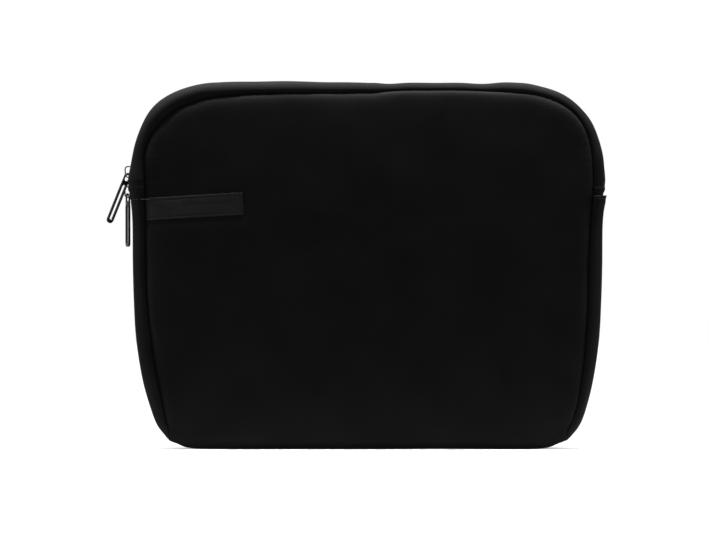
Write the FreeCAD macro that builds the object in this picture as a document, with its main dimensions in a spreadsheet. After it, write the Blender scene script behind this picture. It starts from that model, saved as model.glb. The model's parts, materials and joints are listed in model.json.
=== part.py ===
import FreeCAD, Part

import math
import os

import Sketcher
from FreeCAD import Placement, Rotation, Vector

# A neoprene laptop sleeve that stands upright on its folded bottom edge.
# +X is to the viewer's right, the front faces -Y and +Z is up. The origin is the
# centre of the flat base. The body is one folded sheet (front, bottom and back)
# with a rounded-rectangle outline. Side gussets close its lower sides, and a zip
# band runs from the top of one gusset over the top edge to the other. The zip has
# two sliders, both parked at its left end, each with a bail and a long puller.
# The part of the front above the zip ends folds forward as a flap.

doc = FreeCAD.newDocument("laptop_sleeve")
sheet = doc.addObject("Spreadsheet::Sheet", "Dimensions")

DIMENSIONS = [
    # Outline of the whole sleeve, seen from the front
    ("outer_half_width", 181.5),
    ("outer_height", 283.0),
    ("outer_depth", 38.0),
    ("top_corner_radius", 62.0),
    ("side_curve_radius", 323.0),
    ("side_curve_start", 126.0),
    ("bottom_corner_radius", 24.0),
    ("edge_rounding", 9.0),
    # Layers, counted inwards from the outer surface
    ("neoprene_inset", 4.0),
    ("lining_inset", 5.0),
    ("neoprene_rounding", 5.0),
    ("lining_rounding", 4.0),
    ("neoprene_depth", 30.0),
    ("lining_depth", 28.0),
    # Seam between the front or back sheet and the gussets and zip band
    ("seam_inset", 9.0),
    ("gusset_end_half_width", 154.6),
    ("gusset_end_height", 24.0),
    # Where the front folds, and where the zip ends
    ("fold_height", 199.0),
    ("fold_gap", 0.3),
    ("zip_end_height", 193.5),
    ("slot_half_width", 5.3),
    # Zip tapes and coils, each pair with a gap along the middle
    ("tape_inset", 4.8),
    ("tape_half_gap", 1.2),
    ("tape_half_width", 10.0),
    ("coil_inset", 1.5),
    ("coil_half_gap", 1.0),
    ("coil_half_width", 3.2),
    ("front_coil_start", 222.0),
    ("lining_half_gap", 10.3),
    # Thread, which stands proud of what it is sewn through
    ("thread_inset", -0.35),
    ("thread_low", 7.0),
    ("thread_high", 7.6),
    # Binding tape on the seam allowances, folded flat against the lining
    ("binding_outer_inset", 6.4),
    ("binding_inner_inset", 12.0),
    ("binding_low", 11.4),
    ("binding_high", 12.8),
    ("binding_bottom", 14.0),
    # Label on the front
    ("label_length", 75.5),
    ("label_width", 17.4),
    ("label_thickness", 1.0),
    ("label_left", -170.6),
    ("label_bottom", 176.6),
    ("label_tilt", 3.4),
    ("label_corner", 0.8),
    ("label_thread_margin", 2.0),
    ("label_thread_width", 0.6),
    # Sliders, measured from the outer surface inwards and from their own middle
    ("slider_length", 10.0),
    ("slider_width", 9.6),
    ("slider_corner", 2.4),
    ("crown_low", -0.8),
    ("crown_high", 0.6),
    ("sole_low", 5.8),
    ("sole_high", 7.0),
    ("flange_inner", 3.9),
    ("flange_length", 6.0),
    ("flange_depth", 3.1),
    ("post_width", 1.4),
    ("post_length", 2.6),
    ("post_end", 4.8),
    ("upper_slider_height", 214.8),
    ("upper_slider_tilt", -2.87),
    ("upper_slider_shift", 0.15),
    ("lower_slider_height", 198.95),
    # Bail, a small arch on the slider's crown
    ("bail_rise", 6.3),
    ("bail_length", 9.4),
    ("bail_bar", 1.0),
    ("bail_corner", 2.7),
    # Puller, hanging from the bail's lower outer corner
    ("puller_length", 41.7),
    ("puller_width", 6.6),
    ("puller_thickness", 1.4),
    ("puller_corner", 3.1),
    ("eye_thickness", 1.1),
    ("eye_above", 1.2),
    ("eye_start", 0.6),
    ("eye_length", 4.9),
    ("eye_width", 4.5),
    ("thick_start", 6.4),
    ("window_start", 8.6),
    ("window_length", 29.2),
    ("window_width", 3.3),
    ("upper_puller_lean", 22.0),
    ("upper_puller_tilt", 4.0),
    ("upper_puller_twist", -42.0),
    ("lower_puller_twist", 28.0),
    # Larger than anything above
    ("reach", 400.0),
]

for row, (alias, value) in enumerate(DIMENSIONS, start=1):
    sheet.set("A%d" % row, alias)
    sheet.set("B%d" % row, "%g" % value)
    sheet.setAlias("B%d" % row, alias)
doc.recompute()


def size(alias):
    """The number in the sheet's cell of that name."""
    return float(sheet.get(alias))


def cell(alias):
    """The cell's name as an expression writes it, with a minus sign kept in front."""
    if alias.startswith("-"):
        return "-Dimensions." + alias[1:]
    return "Dimensions." + alias


# ---------------------------------------------------------------- sketches

FRONT_VIEW = Rotation(Vector(1, 0, 0), 90)
SIDE_VIEW = Rotation(Vector(1, 1, 1), 120)


def drive(sketch, number, name, expression):
    """Name a sketch dimension and bind it to the sheet."""
    sketch.renameConstraint(number, name)
    sketch.setExpression("Constraints." + name, expression)


def chain(sketch, count):
    """Join each edge's end to the next edge's start, tangent, all the way round."""
    for edge in range(count):
        sketch.addConstraint(Sketcher.Constraint("Tangent", edge, 2, (edge + 1) % count, 1))


def arc(centre, radius, start, end):
    circle = Part.Circle(Vector(centre[0], centre[1], 0), Vector(0, 0, 1), radius)
    return Part.ArcOfCircle(circle, math.radians(start), math.radians(end))


def line(start, end):
    return Part.LineSegment(Vector(start[0], start[1], 0), Vector(end[0], end[1], 0))


def draw_outline(sketch, inset):
    """The sleeve's front outline, set in by a cell of the sheet (None for the outline itself).

    It runs clockwise from the top left: a straight top, round top corners, straight
    upper sides, long curves that draw the lower sides in, and round bottom corners.
    """
    depth = size(inset) if inset else 0.0
    less = " - " + cell(inset) if inset else ""
    half_width = size("outer_half_width") - depth
    top = size("outer_height") - depth
    top_radius = size("top_corner_radius") - depth
    side_radius = size("side_curve_radius") - depth
    low_radius = size("bottom_corner_radius") - depth
    side_start = size("side_curve_start")
    corner_x = half_width - top_radius
    corner_z = top - top_radius
    side_x = half_width - side_radius
    low_z = depth + low_radius
    low_x = side_x + math.sqrt((side_radius - low_radius) ** 2 - (side_start - low_z) ** 2)
    turn = math.degrees(math.atan2(side_start - low_z, low_x - side_x))
    side_end = (side_x + side_radius * math.cos(math.radians(turn)),
                side_start - side_radius * math.sin(math.radians(turn)))

    edges = [
        line((-corner_x, top), (corner_x, top)),
        arc((corner_x, corner_z), top_radius, 0, 90),
        line((half_width, corner_z), (half_width, side_start)),
        arc((side_x, side_start), side_radius, -turn, 0),
        arc((low_x, low_z), low_radius, -90, -turn),
        line((low_x, depth), (-low_x, depth)),
        arc((-low_x, low_z), low_radius, 180 + turn, 270),
        arc((-side_x, side_start), side_radius, 180, 180 + turn),
        line((-half_width, side_start), (-half_width, corner_z)),
        arc((-corner_x, corner_z), top_radius, 90, 180),
    ]
    arcs = {1: "top", 3: "side", 4: "low", 6: "low", 7: "side", 9: "top"}
    for edge in edges:
        sketch.addGeometry(edge, False)
    # An arc runs anticlockwise from its start, against the way round, so its ends swap.
    for edge in range(len(edges)):
        following = (edge + 1) % len(edges)
        leaving = 1 if edge in arcs else 2
        entering = 2 if following in arcs else 1
        sketch.addConstraint(Sketcher.Constraint("Tangent", edge, leaving, following, entering))
    for edge in (0, 5):
        sketch.addConstraint(Sketcher.Constraint("Horizontal", edge))
    for edge in (2, 8):
        sketch.addConstraint(Sketcher.Constraint("Vertical", edge))
    radii = {"top": (top_radius, "top_corner_radius"), "side": (side_radius, "side_curve_radius"),
             "low": (low_radius, "bottom_corner_radius")}
    for edge, which in arcs.items():
        number = sketch.addConstraint(Sketcher.Constraint("Radius", edge, radii[which][0]))
        drive(sketch, number, "%s_radius_%d" % (which, edge), cell(radii[which][1]) + less)
    for edge, sign in ((2, ""), (8, "-")):
        value = -half_width if sign else half_width
        number = sketch.addConstraint(Sketcher.Constraint("DistanceX", -1, 1, edge, 1, value))
        drive(sketch, number, "half_width_%d" % edge,
              "%s(%s%s)" % (sign, cell("outer_half_width"), less))
    number = sketch.addConstraint(Sketcher.Constraint("DistanceY", -1, 1, 0, 1, top))
    drive(sketch, number, "top_height", cell("outer_height") + less)
    if inset:
        number = sketch.addConstraint(Sketcher.Constraint("DistanceY", -1, 1, 5, 1, depth))
        drive(sketch, number, "bottom_height", cell(inset))
    else:
        sketch.addConstraint(Sketcher.Constraint("PointOnObject", 5, 1, -1))
    for edge in (3, 7):
        number = sketch.addConstraint(Sketcher.Constraint("DistanceY", -1, 1, edge, 3, side_start))
        drive(sketch, number, "side_start_%d" % edge, cell("side_curve_start"))


def draw_rounded_rectangle(sketch, centre, spans, radius):
    """A rounded rectangle. Each measure is a pair: its number and its expression."""
    (mid_u, mid_u_text), (mid_v, mid_v_text) = centre
    (span_u, span_u_text), (span_v, span_v_text) = spans
    corner, corner_text = radius
    low_u = mid_u - span_u / 2
    high_u = mid_u + span_u / 2
    low_v = mid_v - span_v / 2
    high_v = mid_v + span_v / 2
    edges = [
        line((low_u + corner, low_v), (high_u - corner, low_v)),
        arc((high_u - corner, low_v + corner), corner, -90, 0),
        line((high_u, low_v + corner), (high_u, high_v - corner)),
        arc((high_u - corner, high_v - corner), corner, 0, 90),
        line((high_u - corner, high_v), (low_u + corner, high_v)),
        arc((low_u + corner, high_v - corner), corner, 90, 180),
        line((low_u, high_v - corner), (low_u, low_v + corner)),
        arc((low_u + corner, low_v + corner), corner, 180, 270),
    ]
    for edge in edges:
        sketch.addGeometry(edge, False)
    chain(sketch, len(edges))
    for edge in (0, 4):
        sketch.addConstraint(Sketcher.Constraint("Horizontal", edge))
    for edge in (2, 6):
        sketch.addConstraint(Sketcher.Constraint("Vertical", edge))
    number = sketch.addConstraint(Sketcher.Constraint("Radius", 1, corner))
    drive(sketch, number, "corner", corner_text)
    for edge in (3, 5, 7):
        sketch.addConstraint(Sketcher.Constraint("Equal", 1, edge))
    number = sketch.addConstraint(Sketcher.Constraint("DistanceX", 6, 1, 2, 1, span_u))
    drive(sketch, number, "span_u", span_u_text)
    number = sketch.addConstraint(Sketcher.Constraint("DistanceY", 0, 1, 4, 1, span_v))
    drive(sketch, number, "span_v", span_v_text)
    number = sketch.addConstraint(Sketcher.Constraint("DistanceX", -1, 1, 2, 1, high_u))
    drive(sketch, number, "high_u", "(%s) + (%s) / 2" % (mid_u_text, span_u_text))
    number = sketch.addConstraint(Sketcher.Constraint("DistanceY", -1, 1, 4, 1, high_v))
    drive(sketch, number, "high_v", "(%s) + (%s) / 2" % (mid_v_text, span_v_text))


# ---------------------------------------------------------------- solids

def measure(text):
    """An expression's number now, worked out by the sheet's own document."""
    return float(sheet.evalExpression(text))


def region(name, x=("-reach", "reach"), y=("-reach", "reach"), z=("-reach", "reach")):
    """A box between two expressions on each axis."""
    box = doc.addObject("Part::Box", name)
    for axis, side, (low, high) in (("x", "Length", x), ("y", "Width", y), ("z", "Height", z)):
        low = cell(low) if low.lstrip("-") == "reach" else low
        high = cell(high) if high.lstrip("-") == "reach" else high
        box.setExpression("Placement.Base." + axis, low)
        box.setExpression(side, "(%s) - (%s)" % (high, low))
    return box


def cut(name, base, tool):
    result = doc.addObject("Part::Cut", name)
    result.Base = base
    result.Tool = tool
    return result


def common(name, base, tool):
    result = doc.addObject("Part::Common", name)
    result.Base = base
    result.Tool = tool
    return result


def fuse(name, shapes):
    result = doc.addObject("Part::MultiFuse", name)
    result.Shapes = shapes
    return result


def extrude(sketch, name, direction, length):
    solid = doc.addObject("Part::Extrusion", name)
    solid.Base = sketch
    solid.DirMode = "Custom"
    solid.Dir = direction
    solid.Solid = True
    solid.setExpression("LengthFwd", length)
    return solid


def outline_solid(name, inset, low, high):
    """The outline, set in, as a slab between two expressions along Y."""
    sketch = doc.addObject("Sketcher::SketchObject", name + "_sketch")
    sketch.Placement = Placement(Vector(0, 0, 0), FRONT_VIEW)
    draw_outline(sketch, inset)
    sketch.setExpression("Placement.Base.y", low)
    return extrude(sketch, name, Vector(0, 1, 0), "(%s) - (%s)" % (high, low))


def band(name, outer, inner, low, high):
    """The ring between two insets of the outline, between two expressions along Y."""
    return cut(name, outline_solid(name + "_outside", outer, low, high),
               outline_solid(name + "_inside", inner, low, high))


def plate(name, view, centre, spans, radius, low, high):
    """A rounded rectangle, in front view (XZ) or side view (YZ), as a plate."""
    sketch = doc.addObject("Sketcher::SketchObject", name + "_sketch")
    front = view == "front"
    sketch.Placement = Placement(Vector(0, 0, 0), FRONT_VIEW if front else SIDE_VIEW)
    values = [[(measure(text), text) for text in pair] for pair in (centre, spans)]
    draw_rounded_rectangle(sketch, values[0], values[1], (measure(radius), radius))
    sketch.setExpression("Placement.Base." + ("y" if front else "x"), low)
    direction = Vector(0, 1, 0) if front else Vector(1, 0, 0)
    return extrude(sketch, name, direction, "(%s) - (%s)" % (high, low))


def rounded_form(name, inset, depth, rounding):
    """The outline as a body of its full depth, with its front and back edges rounded."""
    body = doc.addObject("PartDesign::Body", name)
    sketch = body.newObject("Sketcher::SketchObject", name + "_outline")
    plane = [item for item in body.Origin.OriginFeatures if item.Role == "XZ_Plane"][0]
    sketch.AttachmentSupport = (plane, [""])
    sketch.MapMode = "FlatFace"
    draw_outline(sketch, inset)
    pad = body.newObject("PartDesign::Pad", name + "_pad")
    pad.Profile = sketch
    pad.SideType = "Symmetric"
    pad.setExpression("Length", cell(depth))
    doc.recompute()
    rims = []
    for number, edge in enumerate(pad.Shape.Edges, start=1):
        if edge.BoundBox.YLength < 0.01:
            rims.append("Edge%d" % number)
    fillet = body.newObject("PartDesign::Fillet", name + "_rounding")
    fillet.Base = (pad, rims)
    fillet.setExpression("Radius", cell(rounding))
    body.Tip = fillet
    return body


pieces = []


def piece(shape, label):
    """Keep an object as one of the sleeve's pieces, under the name of its file."""
    shape.Label = label
    pieces.append(shape)
    return shape


# ---------------------------------------------------------------- layers and regions

FOLD_LOW = "Dimensions.fold_height - Dimensions.fold_gap / 2"
FOLD_HIGH = "Dimensions.fold_height + Dimensions.fold_gap / 2"
ZIP_END = "Dimensions.zip_end_height"
SLOT = "Dimensions.slot_half_width"

outer_form = rounded_form("outer_form", None, "outer_depth", "edge_rounding")
neoprene_form = rounded_form("neoprene_form", "neoprene_inset", "neoprene_depth",
                             "neoprene_rounding")
lining_form = rounded_form("lining_form", "lining_inset", "lining_depth", "lining_rounding")
neoprene = cut("neoprene", outer_form, neoprene_form)
lining = cut("lining", neoprene_form, lining_form)

# Inside the seam lie the front and back sheets and the bottom that joins them.
seam_inside = fuse("seam_inside", [
    outline_solid("seam_outline", "seam_inset", "-Dimensions.reach", "Dimensions.reach"),
    region("seam_below", x=("-Dimensions.gusset_end_half_width", "Dimensions.gusset_end_half_width"),
           z=("-reach", "Dimensions.gusset_end_height")),
])
above_fold_front = region("above_fold_front", y=("-reach", "0"), z=(FOLD_LOW, "reach"))
flap_front = region("flap_front", y=("-reach", "0"), z=(FOLD_HIGH, "reach"))
slot = region("slot", y=("-" + SLOT, SLOT), z=(ZIP_END, "reach"))
below_fold = region("below_fold", z=("-reach", FOLD_LOW))
left_side = region("left_side", x=("-reach", "0"), z=("-reach", FOLD_LOW))
right_side = region("right_side", x=("0", "reach"), z=("-reach", FOLD_LOW))

# ---------------------------------------------------------------- neoprene shell

sheets = common("sheets", neoprene, seam_inside)
piece(cut("folded_sheet", sheets, above_fold_front), "body_wrap")
piece(common("front_sheet", sheets, flap_front), "front_panel_upper")

edge_ring = cut("edge_ring", cut("edge_ring_closed", neoprene, seam_inside), slot)
piece(common("left_gusset", edge_ring, left_side), "side_gusset_left")
piece(common("right_gusset", edge_ring, right_side), "side_gusset_right")
strips = cut("strips", edge_ring, below_fold)
piece(common("front_strip", strips, flap_front), "zip_strip_front")
back_half = region("back_half", y=("0", "reach"))
piece(common("back_strip", strips, back_half), "zip_strip_back")

# ---------------------------------------------------------------- zip tapes, coils and thread


def zip_band(name, outer, inner, low, high, front_start, back_start):
    """A front and a back ring at mirrored places along Y, cut off at the zip's ends."""
    names = ("front", "back")
    spans = (("-(%s)" % high, "-(%s)" % low), (low, high))
    starts = (front_start, back_start)
    for side, span, start in zip(names, spans, starts):
        ring = band("%s_%s_ring" % (name, side), outer, inner, span[0], span[1])
        above = region("%s_%s_above" % (name, side), z=(start, "reach"))
        piece(common("%s_%s_part" % (name, side), ring, above), "zip_%s_%s" % (name, side))


zip_band("tape", "neoprene_inset", "tape_inset", "Dimensions.tape_half_gap",
         "Dimensions.tape_half_width", FOLD_HIGH, ZIP_END)
zip_band("coil", "coil_inset", "neoprene_inset", "Dimensions.coil_half_gap",
         "Dimensions.coil_half_width", "Dimensions.front_coil_start", ZIP_END)
zip_band("thread", "thread_inset", None, "Dimensions.thread_low",
         "Dimensions.thread_high", FOLD_HIGH, FOLD_LOW)

# ---------------------------------------------------------------- lining and binding

slot_lining = region("slot_lining", y=("-Dimensions.lining_half_gap", "Dimensions.lining_half_gap"),
                     z=(ZIP_END, "reach"))
lining_open = cut("lining_open", lining, slot_lining)
lining_sides = cut("lining_sides", lining_open, seam_inside)
piece(common("lining_left", lining_sides, left_side), "lining_gusset_left")
piece(common("lining_right", lining_sides, right_side), "lining_gusset_right")
piece(common("lining_front", lining_open, flap_front), "lining_front_upper")
side_walls = cut("side_walls", below_fold, seam_inside)
lining_body = cut("lining_body", cut("lining_without_sides", lining_open, side_walls),
                  above_fold_front)
piece(lining_body, "lining_wrap")

for side, low, high in (("front", "-Dimensions.binding_high", "-Dimensions.binding_low"),
                        ("back", "Dimensions.binding_low", "Dimensions.binding_high")):
    ring = band("binding_%s_ring" % side, "binding_outer_inset", "binding_inner_inset", low, high)
    if side == "front":
        piece(common("binding_front_top", ring, flap_front), "seam_binding_front_upper")
        for hand, span in (("left", ("-reach", "0")), ("right", ("0", "reach"))):
            part = region("binding_%s" % hand, x=span, z=("Dimensions.binding_bottom", FOLD_LOW))
            piece(common("binding_front_" + hand, ring, part), "seam_binding_front_" + hand)
    else:
        part = region("binding_back", z=("Dimensions.binding_bottom", "reach"))
        piece(common("binding_back_part", ring, part), "seam_binding_back")

# ---------------------------------------------------------------- label


def label_plate(name, margin, low, high):
    """The label's rounded rectangle, set in all round by a margin."""
    middle = ("Dimensions.label_length / 2", "Dimensions.label_width / 2")
    spans = ("Dimensions.label_length - 2 * (%s)" % margin,
             "Dimensions.label_width - 2 * (%s)" % margin)
    return plate(name, "front", middle, spans, "Dimensions.label_corner", low, high)


LABEL_BACK = "-Dimensions.outer_depth / 2"
LABEL_FACE = "-Dimensions.outer_depth / 2 - Dimensions.label_thickness"
THREAD_FACE = LABEL_FACE + " + Dimensions.thread_inset"
THREAD_MARGIN = "Dimensions.label_thread_margin"
patch = label_plate("label_plate", "0", LABEL_FACE, LABEL_BACK)
frame = cut("label_frame",
            label_plate("thread_outside", THREAD_MARGIN, THREAD_FACE, LABEL_FACE),
            label_plate("thread_inside", THREAD_MARGIN + " + Dimensions.label_thread_width",
                        THREAD_FACE, LABEL_FACE))
for part, label in ((patch, "label_patch"), (frame, "label_stitching")):
    part.Placement = Placement(Vector(size("label_left"), 0, size("label_bottom")),
                               Rotation(Vector(0, 1, 0), -size("label_tilt")))
    piece(part, label)

# ---------------------------------------------------------------- sliders, bails and pullers


def slider_body(name, post_side):
    """A slider about its own middle, where local X runs inwards from the outer surface.

    The crown lies outside the coils and the sole inside the tapes. A post at one end
    joins them between the two coils, and a flange hangs from the crown on each side.
    """
    flat = ("Dimensions.slider_width", "Dimensions.slider_length")
    crown = plate(name + "_crown", "side", ("0", "0"), flat, "Dimensions.slider_corner",
                  "Dimensions.crown_low", "Dimensions.crown_high")
    sole = plate(name + "_sole", "side", ("0", "0"), flat, "Dimensions.slider_corner",
                 "Dimensions.sole_low", "Dimensions.sole_high")
    post_span = ["-Dimensions.post_end", "-Dimensions.post_end + Dimensions.post_length"]
    if post_side == "top":
        post_span = ["Dimensions.post_end - Dimensions.post_length", "Dimensions.post_end"]
    post = region(name + "_post", x=("Dimensions.crown_high", "Dimensions.sole_low"),
                  y=("-Dimensions.post_width / 2", "Dimensions.post_width / 2"), z=post_span)
    flange_ends = ("-Dimensions.flange_length / 2", "Dimensions.flange_length / 2")
    front = region(name + "_front_flange", x=("Dimensions.crown_high", "Dimensions.flange_depth"),
                   y=("-Dimensions.slider_width / 2", "-Dimensions.flange_inner"), z=flange_ends)
    back = region(name + "_back_flange", x=("Dimensions.crown_high", "Dimensions.flange_depth"),
                  y=("Dimensions.flange_inner", "Dimensions.slider_width / 2"), z=flange_ends)
    return fuse(name + "_solid", [crown, sole, post, front, back])


def bail(name):
    """The arch on the crown that holds the puller, as a flat bar bent to a D."""
    middle = ("Dimensions.crown_low - Dimensions.bail_rise / 2", "0")
    outside = plate(name + "_outside", "front", middle,
                    ("Dimensions.bail_rise", "Dimensions.bail_length"), "Dimensions.bail_corner",
                    "-Dimensions.bail_bar / 2", "Dimensions.bail_bar / 2")
    inside = plate(name + "_inside", "front", middle,
                   ("Dimensions.bail_rise - 2 * Dimensions.bail_bar",
                    "Dimensions.bail_length - 2 * Dimensions.bail_bar"),
                   "Dimensions.bail_corner - Dimensions.bail_bar",
                   "-Dimensions.bail_bar / 2", "Dimensions.bail_bar / 2")
    return cut(name + "_arch", outside, inside)


def puller(name):
    """A long flat link that hangs along local -Z from the bar above its eye.

    The eye that the bail runs through is thinner than the rest, and a long window
    takes up most of the length below it.
    """
    thin = plate(name + "_thin", "side",
                 ("0", "Dimensions.eye_above - Dimensions.puller_length / 2"),
                 ("Dimensions.puller_width", "Dimensions.puller_length"),
                 "Dimensions.puller_corner",
                 "-Dimensions.eye_thickness / 2", "Dimensions.eye_thickness / 2")
    thick_length = "(Dimensions.puller_length - Dimensions.eye_above - Dimensions.thick_start)"
    thick = plate(name + "_thick", "side",
                  ("0", "-Dimensions.thick_start - %s / 2" % thick_length),
                  ("Dimensions.puller_width", thick_length), "Dimensions.puller_corner",
                  "-Dimensions.puller_thickness / 2", "Dimensions.puller_thickness / 2")
    eye = plate(name + "_eye", "side",
                ("0", "-Dimensions.eye_start - Dimensions.eye_length / 2"),
                ("Dimensions.eye_width", "Dimensions.eye_length"),
                "Dimensions.eye_width / 2 - 0.1", "-Dimensions.puller_thickness",
                "Dimensions.puller_thickness")
    window = plate(name + "_window", "side",
                   ("0", "-Dimensions.window_start - Dimensions.window_length / 2"),
                   ("Dimensions.window_width", "Dimensions.window_length"),
                   "Dimensions.window_width / 2 - 0.1", "-Dimensions.puller_thickness",
                   "Dimensions.puller_thickness")
    solid = fuse(name + "_solid", [thin, thick])
    return cut(name + "_link", cut(name + "_with_eye", solid, eye), window)


ALONG = Vector(1, 0, 0)
ACROSS = Vector(0, 1, 0)
UPWARDS = Vector(0, 0, 1)
eye_spot = Vector(size("crown_low") - size("bail_rise") + size("bail_corner"), 0,
                  size("bail_corner") - size("bail_length") / 2)
sliders = {
    "upper": ("bottom", size("upper_slider_height"), size("upper_slider_tilt"),
              size("upper_slider_shift"),
              Rotation(ALONG, size("upper_puller_tilt"))
              * Rotation(ACROSS, size("upper_puller_lean"))
              * Rotation(UPWARDS, size("upper_puller_twist"))),
    "lower": ("top", size("lower_slider_height"), 0.0, 0.0,
              Rotation(UPWARDS, size("lower_puller_twist"))),
}
for name, (post_side, height, tilt, shift, attitude) in sliders.items():
    spot = Placement(Vector(shift - size("outer_half_width"), 0, height), Rotation(ACROSS, tilt))
    body = piece(slider_body(name + "_slider", post_side), name + "_slider_body")
    body.Placement = spot
    arch = piece(bail(name + "_bail"), name + "_slider_bail")
    arch.Placement = spot
    pivot = spot.multVec(eye_spot)
    link = piece(puller(name + "_link"), name + "_puller")
    link.Placement = Placement(pivot, attitude)
    print("%s puller turns about Y through x %.3f, z %.3f" % (name, pivot.x, pivot.z))

# ---------------------------------------------------------------- check and write

doc.recompute()
for item in doc.Objects:
    if "Invalid" in item.State or "Error" in item.State:
        raise RuntimeError("%s failed: %s" % (item.Name, item.State))
for item in pieces:
    if item.Shape.isNull() or not item.Shape.isValid():
        raise RuntimeError(item.Label + " has no valid shape")
    print("%-26s solids %d volume %.1f mm3" % (item.Label, len(item.Shape.Solids),
                                                item.Shape.Volume))

os.makedirs("parts", exist_ok=True)
for item in pieces:
    item.Shape.exportStep("parts/%s.step" % item.Label)
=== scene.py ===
import contextlib
import json
import math

import bmesh
import bpy
import numpy as np
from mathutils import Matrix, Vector


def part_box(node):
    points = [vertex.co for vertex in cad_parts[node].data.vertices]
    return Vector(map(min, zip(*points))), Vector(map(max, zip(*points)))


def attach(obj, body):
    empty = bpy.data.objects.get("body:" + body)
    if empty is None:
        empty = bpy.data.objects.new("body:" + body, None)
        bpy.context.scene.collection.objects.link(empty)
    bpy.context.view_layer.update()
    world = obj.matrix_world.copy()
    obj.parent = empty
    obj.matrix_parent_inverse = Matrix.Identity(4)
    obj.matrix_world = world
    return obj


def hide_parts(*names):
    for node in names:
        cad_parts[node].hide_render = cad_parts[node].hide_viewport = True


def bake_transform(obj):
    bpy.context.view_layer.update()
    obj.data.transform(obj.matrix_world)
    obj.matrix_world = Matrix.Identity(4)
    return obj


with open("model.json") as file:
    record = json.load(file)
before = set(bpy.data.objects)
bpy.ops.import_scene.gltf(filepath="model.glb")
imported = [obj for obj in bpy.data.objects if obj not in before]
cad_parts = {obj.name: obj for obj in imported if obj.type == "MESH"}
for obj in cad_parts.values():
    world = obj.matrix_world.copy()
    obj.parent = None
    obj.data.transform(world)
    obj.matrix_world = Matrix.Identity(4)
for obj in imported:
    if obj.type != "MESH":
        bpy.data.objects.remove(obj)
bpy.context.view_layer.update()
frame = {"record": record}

# A black neoprene laptop sleeve that stands upright. Every soft piece is a surface over
# the sleeve's outline: "along" runs round the outline, "across" runs from the middle of
# the zip band over the rounded edge onto the front or back, and "rise" is the height
# above the CAD model's outer surface. Lengths here are in millimetres until a mesh is made,
# apart from the materials, the lights and the camera, which are in metres.

MM = 0.001

# Shape of the outline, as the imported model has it
BODY_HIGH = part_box("zip_strip_back")[1] / MM
HALF_WIDTH = BODY_HIGH.x
TOP = BODY_HIGH.z
HALF_DEPTH = BODY_HIGH.y
TOP_RADIUS = 62.0
SIDE_RADIUS = 323.0
SIDE_START = 126.0
LOW_RADIUS = 24.0
EDGE_RADIUS = 9.0
BAND_HALF = HALF_DEPTH - EDGE_RADIUS
EDGE_ARC = EDGE_RADIUS * math.pi / 2
FACE_START = BAND_HALF + EDGE_ARC

# Spacing of the mesh's points round the outline
BOTTOM_STEP = 4.0
LOW_STEP = 0.7
SIDE_STEP = 1.6
CORNER_STEP = 1.5
TOP_STEP = 2.2

# Thicknesses, and how far a sheet's edge turns in at a seam
NEOPRENE = 4.0
LINING = 0.9
LIP = 3.9

# Heights. The zip's strips go on a little below its end, inside the gussets. A row of the
# mesh lies at GUSSET_ROW, just below the gussets' tops. The gussets narrow below
# GUSSET_TURN and end at NOTCH.
ZIP_END = 195.0
STRIP_TUCK = 3.5
GUSSET_ROW = 196.1
GUSSET_TOP = 196.6
GUSSET_TURN = 17.0
NOTCH = 5.0

# Half of the gap between the front and back zip strips
SLOT_HALF = 5.3

SIDES = ((True, "front"), (False, "back"))


# ---------------------------------------------------------------- outline

def straight(start, end, step):
    """Rows of x, z and the outward normal along a straight run, without its end."""
    length = math.dist(start, end)
    count = max(1, round(length / step))
    normal = ((start[1] - end[1]) / length, (end[0] - start[0]) / length)
    rows = []
    for index in range(count):
        share = index / count
        rows.append((start[0] + (end[0] - start[0]) * share,
                     start[1] + (end[1] - start[1]) * share, *normal))
    return rows


def bend(centre, radius, start, end, step):
    """Rows of x, z and the outward normal round an arc, without its end."""
    count = max(2, round(abs(end - start) * radius / step))
    rows = []
    for index in range(count):
        angle = start + (end - start) * index / count
        normal = (-math.cos(angle), math.sin(angle))
        rows.append((centre[0] + radius * normal[0], centre[1] + radius * normal[1], *normal))
    return rows


def outline():
    """Points, outward normals and distances round the outline, clockwise from the bottom."""
    corner_x = HALF_WIDTH - TOP_RADIUS
    corner_z = TOP - TOP_RADIUS
    side_x = HALF_WIDTH - SIDE_RADIUS
    reach = SIDE_RADIUS - LOW_RADIUS
    low_x = side_x + math.sqrt(reach ** 2 - (SIDE_START - LOW_RADIUS) ** 2)
    turn = math.atan2(SIDE_START - LOW_RADIUS, low_x - side_x)
    half = straight((0, 0), (-low_x, 0), BOTTOM_STEP)
    half += bend((-low_x, LOW_RADIUS), LOW_RADIUS, -math.pi / 2, -turn, LOW_STEP)
    half += bend((-side_x, SIDE_START), SIDE_RADIUS, -turn, 0, SIDE_STEP)
    half += straight((-HALF_WIDTH, SIDE_START), (-HALF_WIDTH, GUSSET_ROW), SIDE_STEP)
    half += straight((-HALF_WIDTH, GUSSET_ROW), (-HALF_WIDTH, corner_z), SIDE_STEP)
    half += bend((-corner_x, corner_z), TOP_RADIUS, 0, math.pi / 2, CORNER_STEP)
    half += straight((-corner_x, TOP), (0, TOP), TOP_STEP)
    left = np.array(half)
    right = left[::-1] * (-1, 1, -1, 1)
    middle = np.array([(0, TOP, 0, 1)])
    # The last point would repeat the first
    closed = np.concatenate([left, middle, right])[:-1]
    step = np.linalg.norm(np.diff(closed[:, :2], axis=0), axis=1)
    return closed[:, :2], closed[:, 2:], np.concatenate([[0], np.cumsum(step)])


POINTS, NORMALS, ALONG = outline()
COUNT = len(POINTS)
X, Z = POINTS[:, 0], POINTS[:, 1]
LEFT = X < 0
LEFT_SIDE = LEFT & (Z > SIDE_START)

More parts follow.
